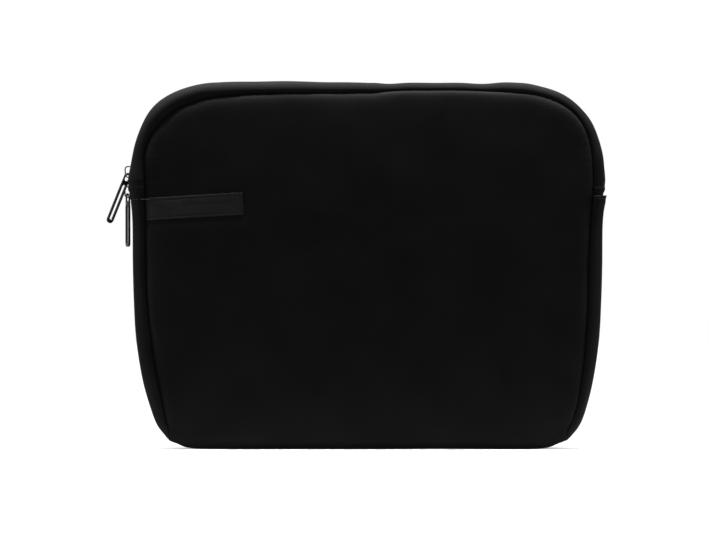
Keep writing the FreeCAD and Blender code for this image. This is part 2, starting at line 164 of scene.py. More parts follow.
# Points of each piece that is swept round the outline
ALL = np.arange(COUNT)
RING = ALL[Z > ZIP_END - STRIP_TUCK]
LEFT_GUSSET = ALL[(Z > NOTCH) & (Z < GUSSET_TOP) & LEFT]
RIGHT_GUSSET = ALL[(Z > NOTCH) & (Z < GUSSET_TOP) & ~LEFT]
GUSSETS = (("left", LEFT_GUSSET), ("right", RIGHT_GUSSET))


def left_along(height):
    """Distance round the outline to a height on the left side."""
    return float(np.interp(height, Z[LEFT_SIDE], ALONG[LEFT_SIDE]))


TOP_MIDDLE = float(ALONG[np.argmax(Z)] + abs(X[np.argmax(Z)]))
RING_START = left_along(ZIP_END)
RING_END = 2 * TOP_MIDDLE - RING_START


# ---------------------------------------------------------------- curves

WAVE_COUNT = 7
WAVE_TOTAL = 4.0


def bump(value, centre, width):
    """A smooth bump of height 1."""
    return np.exp(-((value - centre) / width) ** 2)


def plateau(value, centre, width):
    """A bump of height 1 with a flatter top."""
    return np.exp(-((value - centre) / width) ** 4)


def bumps(value, rows):
    """A sum of bumps, from rows of height, centre and width."""
    return sum(height * bump(value, centre, width) for height, centre, width in rows)


def waves(a, b, seed, size):
    """A smooth uneven field between about -1 and 1, the same each time.

    It adds up waves that run in seeded directions and are about "size" long.
    """
    total = np.zeros(np.broadcast(a, b).shape)
    draw = np.random.default_rng(seed)
    for _ in range(WAVE_COUNT):
        angle = draw.uniform(0, 2 * math.pi)
        phase = draw.uniform(0, 2 * math.pi)
        stretch = draw.uniform(0.6, 1.7)
        wave = (a * math.cos(angle) + b * math.sin(angle)) * 2 * math.pi * stretch / size
        total = total + np.sin(wave + phase)
    return total / WAVE_TOTAL


# ---------------------------------------------------------------- seams

# How far in from the outline the front's seam lies on each side and over the top, and the
# places where it wanders: height, centre and width of each bump, up the side or along X
LEFT_INSET = 9.9
LEFT_WANDER = ((1.9, 85, 50), (-2.4, 14, 14))
RIGHT_INSET = 7.2
RIGHT_WANDER = ((4.2, 120, 68), (-2.6, 25, 30), (-1.9, 205, 16))
TOP_INSET = 8.2
TOP_WANDER = ((2.2, -128, 34), (1.2, 122, 16), (-2.4, 168, 16), (1.0, 95, 12), (1.2, 4, 9),
              (-0.6, -50, 35))
BACK_INSET = 8.6
# Distances from a seam of the rows beside it
SEAM_STEPS = (0.0, 0.4, 0.9, 1.6, 2.6, 4.0)


def front_inset():
    """The front seam's distance in from the outline.

    The gussets are widest a third of the way up, and the band is narrow over the right
    half of the top and wide round the top left corner.
    """
    left = LEFT_INSET + bumps(Z, LEFT_WANDER) - 1.1 * np.clip((Z - 190) / 25, 0, 1)
    right = RIGHT_INSET + bumps(Z, RIGHT_WANDER)
    over = TOP_INSET + bumps(X, TOP_WANDER) - 3.6 * plateau(X, 62, 62)
    share = np.clip((Z - 215) / 50, 0, 1)
    share = share * share * (3 - 2 * share)
    inset = np.where(LEFT, left, right) * (1 - share) + over * share
    turn = np.degrees(np.arctan2(Z - TOP + TOP_RADIUS, -X - HALF_WIDTH + TOP_RADIUS))
    return inset + np.where(LEFT, 2.9 * plateau(turn, 55, 33), 0)


def seam_across(inset):
    """Where the front or back sheet meets the gussets and the zip band, as "across".

    A gusset ends bluntly at the bottom corner.
    """
    rounded = BAND_HALF + EDGE_RADIUS * np.arccos(np.clip(1 - inset / EDGE_RADIUS, 0, 1))
    across = np.where(inset < EDGE_RADIUS, rounded, FACE_START + inset - EDGE_RADIUS)
    low = np.clip((GUSSET_TURN - Z) / (GUSSET_TURN - NOTCH), 0, 1)
    return across * np.sqrt(np.clip(1 - low ** 4, 0, 1))


SEAM_FRONT = seam_across(front_inset())
SEAM_BACK = seam_across(np.full(COUNT, BACK_INSET))
# Below the gussets' ends the front and back are one sheet, with no lip and no seam dip
LIP_SHARE = np.clip((Z - NOTCH) / 5.0, 0, 1)
DIP_SHARE = np.clip((Z - NOTCH) / 6.0, 0, 1)


def seam_dip(distance):
    """How far a sheet sinks towards a seam at some distance from it."""
    return -2.3 * np.exp(-distance / 1.9) - 1.1 * np.exp(-distance / 5.0)


def pucker(along, distance):
    """Small gathers along a seam, which die away from it."""
    gathers = np.sin(along * 2 * math.pi / 7.3 + 1.3 * np.sin(along / 23.0))
    slow = np.sin(along * 2 * math.pi / 31.0 + 0.7)
    return (0.11 * gathers + 0.16 * slow) * np.exp(-distance / 5.0)


def place(along, across, rise, front=True):
    """Points for "along", "across" and "rise". Negative "across" is the far side."""
    along, across, rise = np.broadcast_arrays(along, np.asarray(across, float), rise)
    side = np.where(across < 0, -1.0, 1.0)
    across = np.abs(across)
    angle = np.clip((across - BAND_HALF) / EDGE_RADIUS, 0, math.pi / 2)
    inset = EDGE_RADIUS * (1 - np.cos(angle)) + np.maximum(across - FACE_START, 0)
    depth = np.minimum(across, BAND_HALF) + EDGE_RADIUS * np.sin(angle)
    out = rise * np.cos(angle) - inset
    x = np.interp(along, ALONG, X) + np.interp(along, ALONG, NORMALS[:, 0]) * out
    z = np.interp(along, ALONG, Z) + np.interp(along, ALONG, NORMALS[:, 1]) * out
    y = -side * (depth + rise * np.sin(angle))
    return np.stack([x, y if front else -y, z], axis=-1)


# ---------------------------------------------------------------- meshes

@contextlib.contextmanager
def editing(mesh):
    """Lends a mesh for changes and puts the result back."""
    work = bmesh.new()
    work.from_mesh(mesh)
    yield work
    work.to_mesh(mesh)
    work.free()


def make(name, vertices, faces, uv=None):
    """A new object from points in millimetres. uv holds a pair for each point, in metres."""
    mesh = bpy.data.meshes.new(name)
    mesh.from_pydata((np.asarray(vertices) * MM).tolist(), [], faces)
    if uv is not None:
        layer = mesh.uv_layers.new(name="cloth")
        corners = np.empty(len(mesh.loops), np.int32)
        mesh.loops.foreach_get("vertex_index", corners)
        layer.data.foreach_set("uv", np.asarray(uv)[corners].astype(np.float32).ravel())
    mesh.polygons.foreach_set("use_smooth", [True] * len(mesh.polygons))
    thing = bpy.data.objects.new(name, mesh)
    bpy.context.scene.collection.objects.link(thing)
    with editing(mesh) as work:
        bmesh.ops.remove_doubles(work, verts=work.verts, dist=2e-6)
        bmesh.ops.dissolve_degenerate(work, edges=work.edges, dist=1e-7)
        bmesh.ops.recalc_face_normals(work, faces=work.faces)
    return thing


def quads(rows, columns, join_rows=False, join_columns=False):
    """Faces of a grid of points, listed row by row. Its ends may join."""
    faces = []
    for row in range(rows if join_rows else rows - 1):
        this = row * columns
        following = (row + 1) % rows * columns
        for column in range(columns if join_columns else columns - 1):
            after = (column + 1) % columns
            faces.append((this + column, this + after, following + after, following + column))
    return faces


def gather(name, parts):
    """One object from many (vertices, faces) parts."""
    vertices, faces, start = [], [], 0
    for points, polygons in parts:
        vertices.append(points)
        faces += [tuple(corner + start for corner in polygon) for polygon in polygons]
        start += len(points)
    return make(name, np.concatenate(vertices), faces)


def sweep(name, index, loop, front=True, lift=None):
    """A closed strip: its cross-section is a loop of (across, rise) rows, swept along."""
    along = ALONG[index]
    length = len(index)
    rows = []
    uv = []
    for across, rise in loop:
        across = np.broadcast_to(across, length)
        rise = np.broadcast_to(rise, length).astype(float)
        if lift is not None:
            rise = rise + lift(along, across, front)
        rows.append(place(along, across, rise, front))
        uv.append(np.stack([along * MM, across * MM], axis=-1))
    faces = quads(len(loop), length, join_rows=True)
    for spot in (0, length - 1):
        faces.append(tuple(row * length + spot for row in range(len(loop))))
    return make(name, np.concatenate(rows), faces, np.concatenate(uv))


def tube(centres, radius, sides=6):
    """Vertices and faces of a tube along a row of points. radius may vary along it."""
    centres = np.asarray(centres, float)
    count = len(centres)
    ahead = np.gradient(centres, axis=0)
    ahead /= np.linalg.norm(ahead, axis=1)[:, None] + 1e-9
    helper = np.where(np.abs(ahead[:, 1:2]) < 0.8, [[0.0, 1.0, 0.0]], [[1.0, 0.0, 0.0]])
    first = np.cross(ahead, helper)
    first /= np.linalg.norm(first, axis=1)[:, None] + 1e-9
    second = np.cross(ahead, first)
    turn = (np.arange(sides) * 2 * math.pi / sides)[None, :, None]
    radius = np.broadcast_to(radius, count)[:, None, None]
    ring = first[:, None] * np.cos(turn) + second[:, None] * np.sin(turn)
    vertices = (centres[:, None] + ring * radius).reshape(-1, 3)
    faces = quads(count, sides, join_columns=True)
    faces.append(tuple(range(sides)))
    faces.append(tuple((count - 1) * sides + side for side in range(sides)))
    return vertices, faces


def stitch_row(path, pitch, length, radius, sink=0.35):
    """Parts for a row of sewn stitches.

    path holds the row's start and end and a function that turns distances along it, and
    how far each is sunk, into points.
    """
    start, end, point = path
    share = np.linspace(-1, 1, 7)
    thick = radius * np.sqrt(np.clip(1.05 - np.abs(share) ** 3, 0.05, 1))
    parts = []
    for number in range(int((end - start) / pitch)):
        centre = start + (number + 0.5) * pitch
        parts.append(tube(point(centre + share * length / 2, -sink * np.abs(share) ** 3), thick))
    return parts


# ---------------------------------------------------------------- sheets

# A sheet's rows run from its edge to a ring set in from the outline, closer together at the
# seam, and from there they shrink to a middle line, which is taken to be RING_REACH away
RING_INSET = 22.0
RING_ACROSS = FACE_START + RING_INSET - EDGE_RADIUS
RING_REACH = 60
NEAR = (0, 0.04, 0.09, 0.15, 0.22, 0.30, 0.39, 0.49, 0.60, 0.72, 0.86, 1.0)
MIDDLE_HALF = 75.0
MIDDLE_HEIGHT = 142.0
MIDDLE_STEP = 5.0
FRONT_ROWS = 48
BACK_ROWS = 40
LINING_ROWS = 14

# The bulge of the front and back: its height, half width, middle height and half height
CROWN = 3.6
CROWN_HALF_X = 176
CROWN_MIDDLE_Z = 140
CROWN_HALF_Z = 139


def crown(x, z):
    """The bulge of the front or back."""
    middle_x = np.clip(1 - (x / CROWN_HALF_X) ** 2, 0, 1)
    middle_z = np.clip(1 - ((z - CROWN_MIDDLE_Z) / CROWN_HALF_Z) ** 2, 0, 1)
    return CROWN * (middle_x * middle_z) ** 0.7


def near_rows(edge, front, rise_of):
    """Rows of a sheet from its edge to the ring."""
    rows = []
    for share in NEAR:
        across = edge + (RING_ACROSS - edge) * share
        flat = place(ALONG, across, 0, front)
        rise = rise_of(across - edge, flat[:, 0], flat[:, 2]) + crown(flat[:, 0], flat[:, 2])
        rows.append(place(ALONG, across, rise, front))
    return rows


def middle_rows(edge, front, rise_of, count):
    """Rows of a sheet from the ring to the middle line."""
    base = place(ALONG, RING_ACROSS, 0, front)
    # The upper and lower halves end on the same points, so that they join there
    goal_x = np.clip(base[:, 0], -MIDDLE_HALF, MIDDLE_HALF)
    goal_x = np.round(goal_x / MIDDLE_STEP) * MIDDLE_STEP
    rows = []
    for number in range(1, count + 1):
        share = number / count
        x = base[:, 0] + (goal_x - base[:, 0]) * share
        z = base[:, 2] + (MIDDLE_HEIGHT - base[:, 2]) * share
        distance = RING_ACROSS - edge + RING_REACH * share
        out = HALF_DEPTH + rise_of(distance, x, z) + crown(x, z)
        rows.append(np.stack([x, -out if front else out, z], axis=-1))
    return rows


def face_sheet(name, edge, front, outer_rise, inner_rise, count, lip):
    """A sheet over the front or back, from its edge in to a short line at the middle.

    edge is "across" at its edge, count is the rows from the ring to the middle, and lip is
    how far the edge turns in. The outer and inner surfaces join at the edge.
    """
    turned = -lip * LIP_SHARE + outer_rise(0 * X, X, Z) * (1 - LIP_SHARE)
    outer = near_rows(edge, front, outer_rise) + middle_rows(edge, front, outer_rise, count)
    inner = near_rows(edge, front, inner_rise) + middle_rows(edge, front, inner_rise, count)
    rows = inner[::-1] + [place(ALONG, edge, turned, front)] + outer
    vertices = np.concatenate(rows)
    faces = quads(len(rows), COUNT, join_columns=True)
    return make(name, vertices, faces, vertices[:, [0, 2]] * MM)


def level(height):
    """The rise of a surface that stays at one height."""
    return lambda distance, x, z: np.full(COUNT, height)


# ---------------------------------------------------------------- materials

# Bands that a wave texture has in one unit, and the scale of a sewing thread's twist
WAVE_BANDS = 3.2
TWIST = 1100


class Shader:
    """A Principled material with short names for the nodes that this scene uses."""

    def __init__(self, name, **values):
        self.material = bpy.data.materials.new(name)
        self.material.use_nodes = True
        self.nodes = self.material.node_tree.nodes
        self.links = self.material.node_tree.links
        self.main = self.nodes["Principled BSDF"]
        for socket, value in values.items():
            self.main.inputs[socket.replace("_", " ")].default_value = value

    def node(self, kind, inputs=None, **settings):
        node = self.nodes.new(kind)
        for name, value in settings.items():
            setattr(node, name, value)
        for socket, value in (inputs or {}).items():
            if isinstance(value, bpy.types.NodeSocket):
                self.links.new(value, node.inputs[socket])
            else:
                node.inputs[socket].default_value = value
        return node

    def coordinates(self, kind):
        return self.node("ShaderNodeTexCoord").outputs[kind]

    def multiply(self, first, second):
        node = self.node("ShaderNodeMath", {0: first, 1: second}, operation="MULTIPLY")
        return node.outputs[0]

    def noise(self, vector, scale, detail=2.0, roughness=0.5):
        node = self.node("ShaderNodeTexNoise", {"Vector": vector, "Scale": scale,
                                                "Detail": detail, "Roughness": roughness})
        return node.outputs["Fac"]

    def wave(self, vector, scale, direction, distortion=0.0):
        node = self.node("ShaderNodeTexWave", {"Vector": vector, "Scale": scale,
                                               "Distortion": distortion, "Detail Scale": 1.5},
                         bands_direction=direction)
        return node.outputs["Fac"]

    def pebble(self, vector, scale):
        node = self.node("ShaderNodeTexVoronoi", {"Vector": vector, "Scale": scale},
                         feature="DISTANCE_TO_EDGE")
        return node.outputs["Distance"]

    def ramp(self, fac, low, high, low_at=0.0, high_at=1.0):
        node = self.node("ShaderNodeValToRGB", {"Fac": fac})
        for element, colour, position in zip(node.color_ramp.elements, (low, high),
                                             (low_at, high_at)):
            element.position = position
            element.color = (*colour, 1)
        return node.outputs["Color"]

    def bump(self, height, distance, strength=1.0, normal=None):
        inputs = {"Height": height, "Distance": distance, "Strength": strength}
        if normal is not None:
            inputs["Normal"] = normal
        return self.node("ShaderNodeBump", inputs).outputs["Normal"]

    def finish(self, colour, roughness, normal):
        self.links.new(colour, self.main.inputs["Base Color"])
        self.links.new(roughness, self.main.inputs["Roughness"])
        self.links.new(normal, self.main.inputs["Normal"])
        return self.material


def grey(value, warm=0.0):
    """A grey with more red and less blue where "warm" is above 0."""
    return (value * (1 + warm), value, value * (1 - warm * 0.6))


def bands(width):
    """A wave texture's scale for bands of a width in metres."""
    return 1 / width / WAVE_BANDS


def neoprene():
    """Matt knitted jersey bonded to foam: fine ribs of stitches, faint mottling, lint."""
    made = Shader("neoprene_jersey", Specular_IOR_Level=0.02)
    cloth = made.coordinates("UV")
    ribs = made.wave(cloth, bands(0.0013), "X", 0.6)
    courses = made.wave(cloth, bands(0.0011), "Y", 0.6)
    knit = made.multiply(ribs, courses)
    mottle = made.noise(cloth, 26, 3)
    fuzz = made.noise(cloth, 2600)
    colour = made.ramp(mottle, grey(0.0025, -0.02), grey(0.0036, -0.02), 0.3, 0.72)
    roughness = made.ramp(fuzz, grey(0.70), grey(0.86), 0.3, 0.7)
    normal = made.bump(knit, 0.00010, 0.55)
    normal = made.bump(fuzz, 0.00006, 0.5, normal)
    normal = made.bump(mottle, 0.0012, 0.25, normal)
    return made.finish(colour, roughness, normal)


def woven_tape():
    """Zip tape: a close herringbone weave."""
    made = Shader("zip_tape_weave", Specular_IOR_Level=0.1)
    cloth = made.coordinates("UV")
    warp = made.wave(cloth, bands(0.0007), "DIAGONAL")
    weft = made.wave(cloth, bands(0.0006), "Y", 0.2)
    weave = made.multiply(warp, weft)
    colour = made.ramp(weave, grey(0.003), grey(0.007), 0.1, 0.9)
    roughness = made.ramp(weave, grey(0.9), grey(0.6))
    return made.finish(colour, roughness, made.bump(weave, 0.00016, 0.8))


def nylon():
    """The coils: smooth nylon with a fine grain."""
    made = Shader("zip_coil_nylon", Specular_IOR_Level=0.10)
    grain = made.noise(made.coordinates("Object"), 900)
    colour = made.ramp(grain, grey(0.004), grey(0.008))
    roughness = made.ramp(grain, grey(0.45), grey(0.6))
    return made.finish(colour, roughness, made.bump(grain, 0.00003, 0.4))


def twisted(made, low, high, rough, smooth):
    """Finishes a thread, smoother on the crest of its twist, with a painted highlight on the crests
    and painted shade between them.
    """
    twist = made.wave(made.coordinates("Object"), TWIST, "DIAGONAL", 0.4)
    # colour: painted highlight on the twist's crests, painted shade in the grooves between them
    colour = made.ramp(twist, grey(low), grey(high))
    roughness = made.ramp(twist, grey(rough), grey(smooth))
    return made.finish(colour, roughness, made.bump(twist, 0.00008, 0.8))


def thread():
    """Twisted polyester sewing thread, with a slight shine."""
    made = Shader("sewing_thread", Specular_IOR_Level=0.3, Sheen_Weight=0.05)
    return twisted(made, 0.010, 0.030, 0.62, 0.42)


def dark_thread():
    """The label's own thread, nearly black."""
    made = Shader("label_thread", Specular_IOR_Level=0.2)
    return twisted(made, 0.0015, 0.004, 0.9, 0.8)


def pile():
    """Short brushed lining pile, with a painted sheen that makes it lighter where the nap turns."""
    made = Shader("lining_pile", Specular_IOR_Level=0.15, Sheen_Weight=0.35, Sheen_Roughness=0.4)
    where = made.coordinates("Object")
    nap = made.noise(where, 45, 4, 0.6)
    fibre = made.noise(where, 2200)
    # painted sheen: the colour is lighter where the nap noise is high
    colour = made.ramp(nap, grey(0.010), grey(0.022), 0.3, 0.7)
    roughness = made.ramp(fibre, grey(0.85), grey(0.97))
    normal = made.bump(fibre, 0.00025, 0.7)
    return made.finish(colour, roughness, made.bump(nap, 0.0008, 0.3, normal))


def binding():
    """Ribbed binding tape."""
    made = Shader("binding_rib", Specular_IOR_Level=0.25, Sheen_Weight=0.1)
    rib = made.wave(made.coordinates("UV"), bands(0.0009), "X", 0.1)
    colour = made.ramp(rib, grey(0.004), grey(0.012))
    roughness = made.ramp(rib, grey(0.9), grey(0.7))
    return made.finish(colour, roughness, made.bump(rib, 0.0002, 0.8))


def label_leather():
    """Coated synthetic leather with a fine pebble grain and cloudy wear."""
    made = Shader("label_coating", Specular_IOR_Level=0.05)
    where = made.coordinates("Object")
    pebble = made.pebble(where, 1500)
    cloud = made.noise(where, 120, 3)
    colour = made.ramp(cloud, grey(0.0044), grey(0.0068), 0.3, 0.7)
    roughness = made.ramp(cloud, grey(0.50), grey(0.62), 0.3, 0.7)
    normal = made.bump(pebble, 0.0002, 0.35)
    return made.finish(colour, roughness, made.bump(cloud, 0.0004, 0.2, normal))


def cut_edge():
    """The fibres at the label's cut edge."""
    made = Shader("label_core", Specular_IOR_Level=0.3)
    grain = made.noise(made.coordinates("Object"), 1800, 3)
    colour = made.ramp(grain, grey(0.006), grey(0.016))
    roughness = made.ramp(grain, grey(0.7), grey(0.9))
    return made.finish(colour, roughness, made.bump(grain, 0.0002, 0.6))


def gunmetal():
    """Black nickel on a die casting: soft cloudy plating with a fine grain."""
    made = Shader("black_nickel", Metallic=1.0)
    where = made.coordinates("Object")
    cloud = made.noise(where, 160, 4, 0.6)
    grain = made.noise(where, 2400)
    colour = made.ramp(cloud, grey(0.026, 0.02), grey(0.060, 0.03), 0.25, 0.75)
    roughness = made.ramp(cloud, grey(0.24), grey(0.42), 0.3, 0.7)
    normal = made.bump(grain, 0.00002, 0.35)
    return made.finish(colour, roughness, made.bump(cloud, 0.0002, 0.25, normal))


NEOPRENE_LOOK = neoprene()
TAPE_LOOK = woven_tape()
COIL_LOOK = nylon()
THREAD_LOOK = thread()
DARK_THREAD_LOOK = dark_thread()
PILE_LOOK = pile()
BINDING_LOOK = binding()
LABEL_LOOK = label_leather()
CORE_LOOK = cut_edge()
METAL_LOOK = gunmetal()


def dress(thing, look, nodes=(), body="sleeve_body", bends=False):
    """Gives a piece its material, and fastens it to its body, or else bakes its place into its mesh.
    """
    thing.data.materials.append(look)
    if bends:
        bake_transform(thing)
    else:
        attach(thing, body)
    if nodes:
        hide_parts(*nodes)


# ---------------------------------------------------------------- front and back

LABEL_LOW, LABEL_HIGH = (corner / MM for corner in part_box("label_patch"))
LABEL_X = (LABEL_LOW.x + LABEL_HIGH.x) / 2
LABEL_Z = (LABEL_LOW.z + LABEL_HIGH.z) / 2
LABEL_TILT = math.radians(3.4)
LABEL_LENGTH = 75.5
LABEL_WIDTH = 17.4
LABEL_THICK = 1.0
LABEL_MARGIN = 2.2
LABEL_STITCH_U = LABEL_LENGTH / 2 - LABEL_MARGIN
LABEL_STITCH_V = LABEL_WIDTH / 2 - LABEL_MARGIN


def label_dent(x, z):
    """Depth of the soft dent that the label's stitching pulls round the label's edge."""
    cos, sin = math.cos(LABEL_TILT), math.sin(LABEL_TILT)
    u = (x - LABEL_X) * cos + (z - LABEL_Z) * sin
    v = (z - LABEL_Z) * cos - (x - LABEL_X) * sin
    outside = np.hypot(np.maximum(np.abs(u) - LABEL_LENGTH / 2, 0),
                       np.maximum(np.abs(v) - LABEL_WIDTH / 2, 0))
    return 1.1 * np.exp(-outside / 2.8)


def low_corner(x, z):
    """The sheet draws in below the gusset's end, so that the bottom corner is rounder."""
    return -2.5 * bump(np.abs(x), 149, 10) * np.clip((24 - z) / 10, 0, 1)


def away_from_seam(distance):
    """0 at a seam, and nearly 1 from 40 mm away."""
    return 1 - np.exp(-np.asarray(distance) / 12.0)


def front_slow(distance, x, z):
    """Broad unevenness of the front, which dies away at the seam."""
    slow = 0.45 * waves(x, z, 11, 150) + 0.18 * waves(x, z, 5, 62)
    return slow * away_from_seam(distance)


def back_slow(distance, x, z):
    """Broad unevenness of the back."""
    slow = 0.5 * waves(x, z, 23, 160) + 0.2 * waves(x, z, 7, 70)
    return slow * away_from_seam(distance)


def front_rise(distance, x, z):
    """The front's height above the CAD surface, before its crown."""
    uneven = front_slow(distance, x, z) - label_dent(x, z) + low_corner(x, z)
    return DIP_SHARE * (seam_dip(distance) + pucker(ALONG, distance)) + uneven


def back_rise(distance, x, z):
    """The back's height above the CAD surface, before its crown."""
    uneven = back_slow(distance, x, z) + low_corner(x, z)
    return DIP_SHARE * (seam_dip(distance) + pucker(ALONG + 11, distance)) + uneven


SHEET_INNER = level(0.1 - NEOPRENE)
front_sheet = face_sheet("front_sheet", SEAM_FRONT, True, front_rise, SHEET_INNER, FRONT_ROWS, LIP)
dress(front_sheet, NEOPRENE_LOOK, ["front_panel_upper", "body_wrap"], bends=True)
back_sheet = face_sheet("back_sheet", SEAM_BACK, False, back_rise, SHEET_INNER, BACK_ROWS, LIP)
dress(back_sheet, NEOPRENE_LOOK, ["body_wrap"])


# ---------------------------------------------------------------- zip strips

# Rises and dips of the top edge: height, centre along X and width. The back strip stands a
# little higher than the front one on the left.
TOP_UNEVEN = ((-1.1, 14, 13), (-1.0, 88, 13), (0.9, -62, 30), (0.3, -47, 12), (0.8, 7, 8),
              (0.6, 104, 10), (-1.2, 134, 13))
FRONT_UNEVEN = (-0.4, -110, 55)
BACK_UNEVEN = (1.1, -75, 50)
# Small folds across the band above the gussets' hems, by height
END_FOLDS = ((-0.8, 204.5, 1.6), (0.5, 201, 2.0), (-1.0, 197.6, 1.3))
# Half width of the middle of the band, which the upper slider travels along
SLIDER_HALF = 4.2
STRIP_INNER = SLOT_HALF + 3.4
STRIP_UNDER = -3.7
# The turned edge beside the zip: distance from the slot, and height
TURNED_EDGE = ((2.7, -0.62), (2.2, -0.75), (1.7, -0.6), (1.1, -0.32), (0.6, -0.42),
               (0.2, -0.85), (0.0, -1.5), (0.0, -2.6), (0.15, -3.6))


def band_lift(along, across, front=True):
    """The zip band's own unevenness, for the strips, tapes, coils and stitches on it.

    The band bows out beside the sliders, at the zip's other end and at the top corners,
    but not in the middle, where the upper slider travels. It folds above the gussets' hems.
    """
    x, z = np.interp(along, ALONG, X), np.interp(along, ALONG, Z)
    across = np.abs(across)
    beside = np.clip((across - SLIDER_HALF) / 1.4, 0, 1)
    top = 0.35 + bumps(x, TOP_UNEVEN + ((FRONT_UNEVEN if front else BACK_UNEVEN),))
    top = (top + 0.7 * bump(x, -102, 22) * beside) * np.clip((z - 262) / 14, 0, 1)
    corner = np.where(x < 0, 2.0 * bump(z, 263, 13), 0.55 * bump(z, 252, 9))
    right_end = (2.0 if front else 3.8) * bump(z, 206, np.where(z > 206, 22, 14))
    ends = np.where(x < 0, 4.4 * bump(z, 206, 15), right_end)
    reach = np.clip(1.4 - across / 24, 0, 1)
    folds = bumps(z, END_FOLDS) * np.where(x < 0, 0.6, 1.2) * np.clip((across - 5) / 4, 0, 1)
    slow = 0.15 * np.sin(along * 2 * math.pi / 47.0)
    return (top + (corner + ends) * beside) * reach + folds + slow


def strip_loop(seam):
    """The zip strip's section, from the seam to the turned edge beside the zip and back."""
    loop = [(seam, -LIP)]
    for distance in SEAM_STEPS:
        loop.append((seam - distance, seam_dip(distance)))
    outer = seam - SEAM_STEPS[-1]
    for share in (0.25, 0.5, 0.75, 1.0):
        rise = 0.15 * math.sin(share * math.pi) - 0.3 * math.exp(-(1 - share) * 6)
        loop.append((outer + (STRIP_INNER - outer) * share, rise))
    for distance, rise in TURNED_EDGE:
        loop.append((SLOT_HALF + distance, rise))
    loop.append((seam - 3.0, STRIP_UNDER))
    return loop


for front, side in SIDES:
    seam = SEAM_FRONT if front else SEAM_BACK
    strip = sweep("zip_strip_%s_cloth" % side, RING, strip_loop(seam[RING]), front, band_lift)
    dress(strip, NEOPRENE_LOOK, ["zip_strip_" + side], bends=front)


# ---------------------------------------------------------------- gussets

FLARE = {"left": 2.0, "right": 3.5}
# Where a gusset stands out from the CAD side or draws in: height, centre and width
GUSSET_WANDER = {"left": ((-2.4, 9, 8), (-0.75, 113, 22), (0.5, 50, 18)),
                 "right": ((-2.4, 9, 8), (-0.75, 113, 22), (1.6, 34, 34))}
GUSSET_CROWN = 0.35
# Distance of the hem's stitched groove below the gusset's top
HEM_DROP = 2.9


def hem_flare(z):
    """Share of the outward flare of a gusset's top edge, at a height."""
    return np.exp(-(np.maximum(GUSSET_TOP - z, 0) / 12.0) ** 1.5)


def gusset_half(seam, way, out, stitched):
    """Half of a gusset's outer surface, from its seam to beside its middle."""
    rows = []
    for distance in SEAM_STEPS:
        across = seam - np.minimum(distance, seam * 0.9)
        rows.append((way * across, seam_dip(distance) + out * (distance / SEAM_STEPS[-1])))
    inner = np.maximum(seam - SEAM_STEPS[-1], seam * 0.1)
    for share in (0.3, 0.55, 0.78, 0.93):
        rows.append((way * inner * (1 - share), GUSSET_CROWN * share + out + stitched))
    return rows


def gusset_loop(index, hand):
    """The side gusset's section, from the front seam round the side to the back seam."""
    front, back = SEAM_FRONT[index], SEAM_BACK[index]
    z = Z[index]
    out = FLARE[hand] * hem_flare(z) + bumps(z, GUSSET_WANDER[hand])
    stitched = -0.7 * bump(z, GUSSET_TOP - HEM_DROP, 0.9)
    loop = [(front, -LIP)]
    loop += gusset_half(front, 1, out, stitched)
    loop.append((0.0, GUSSET_CROWN + out + stitched))
    loop += gusset_half(back, -1, out, stitched)[::-1]
    # The inner surface, back to the front seam
    loop += [(-back, -LIP), (-back * 0.5, -LIP), (0.0, -LIP), (front * 0.5, -LIP)]
    return loop


for hand, index in GUSSETS:
    gusset = sweep("side_gusset_%s_cloth" % hand, index, gusset_loop(index, hand))
    dress(gusset, NEOPRENE_LOOK, ["side_gusset_" + hand])


# ---------------------------------------------------------------- zip

# A coil's turns reach from COIL_NEAR, past the zip's middle, to COIL_FAR, and from COIL_LOW
# to COIL_HIGH. Each has COIL_STEPS points.
COIL_PITCH = 1.45
COIL_WIRE = 0.36
COIL_NEAR = -0.75
COIL_FAR = 2.9
COIL_LOW = -3.7
COIL_HIGH = -1.9
COIL_STEPS = 12
COIL_END = 2
# The tape's section: "across" and height, round from its edge at the coil
TAPE_LOOP = ((1.2, -3.75), (2.5, -3.72), (4.0, -3.74), (5.2, -3.78), (7.5, -3.8), (9.7, -3.8),
             (9.7, -4.35), (5.2, -4.35), (1.2, -4.3))
TOPSTITCH_ACROSS = SLOT_HALF + 2.2
TOPSTITCH_LEVEL = -0.62
# Pitch, length and thread radius
TOPSTITCH = (3.1, 2.5, 0.22)


def coil(name, front):
    """One coil of the zip: a wire that winds flat, with its heads meeting the other coil's."""
    start, end = RING_START + COIL_END, RING_END - COIL_END
    turns = (end - start) / COIL_PITCH
    steps = np.arange(int(turns * COIL_STEPS)) / COIL_STEPS
    angle = steps * 2 * math.pi
    shift = 0.0 if front else 0.5
    along = start + (steps + shift) * COIL_PITCH + 0.16 * np.sin(angle)
    middle, half = (COIL_NEAR + COIL_FAR) / 2, (COIL_FAR - COIL_NEAR) / 2
    across = middle - half * np.sign(np.cos(angle)) * np.abs(np.cos(angle)) ** 0.75
    height = (COIL_LOW + COIL_HIGH) / 2 + (COIL_HIGH - COIL_LOW) / 2 * np.sin(angle)
    height = height + band_lift(along, across, front)
    wire = COIL_WIRE * (1 + 0.35 * np.clip((-across - 0.1) / 0.6, 0, 1))
    return gather(name, [tube(place(along, across, height, front), wire)])


for front, side in SIDES:
    tape = sweep("zip_tape_%s_weave" % side, RING, TAPE_LOOP, front, band_lift)
    dress(tape, TAPE_LOOK, ["zip_tape_" + side], bends=front)
    wound = coil("zip_coil_%s_wire" % side, front)
    dress(wound, COIL_LOOK, ["zip_coil_" + side], bends=front)


def topstitch(name, front):
    """A row of stitches beside the zip, through the strip and its tape."""
    def point(along, sunk):
        height = TOPSTITCH_LEVEL + sunk + band_lift(along, TOPSTITCH_ACROSS, front)
        return place(along, TOPSTITCH_ACROSS, height, front)
    return gather(name, stitch_row((RING_START + 1, RING_END - 1, point), *TOPSTITCH))


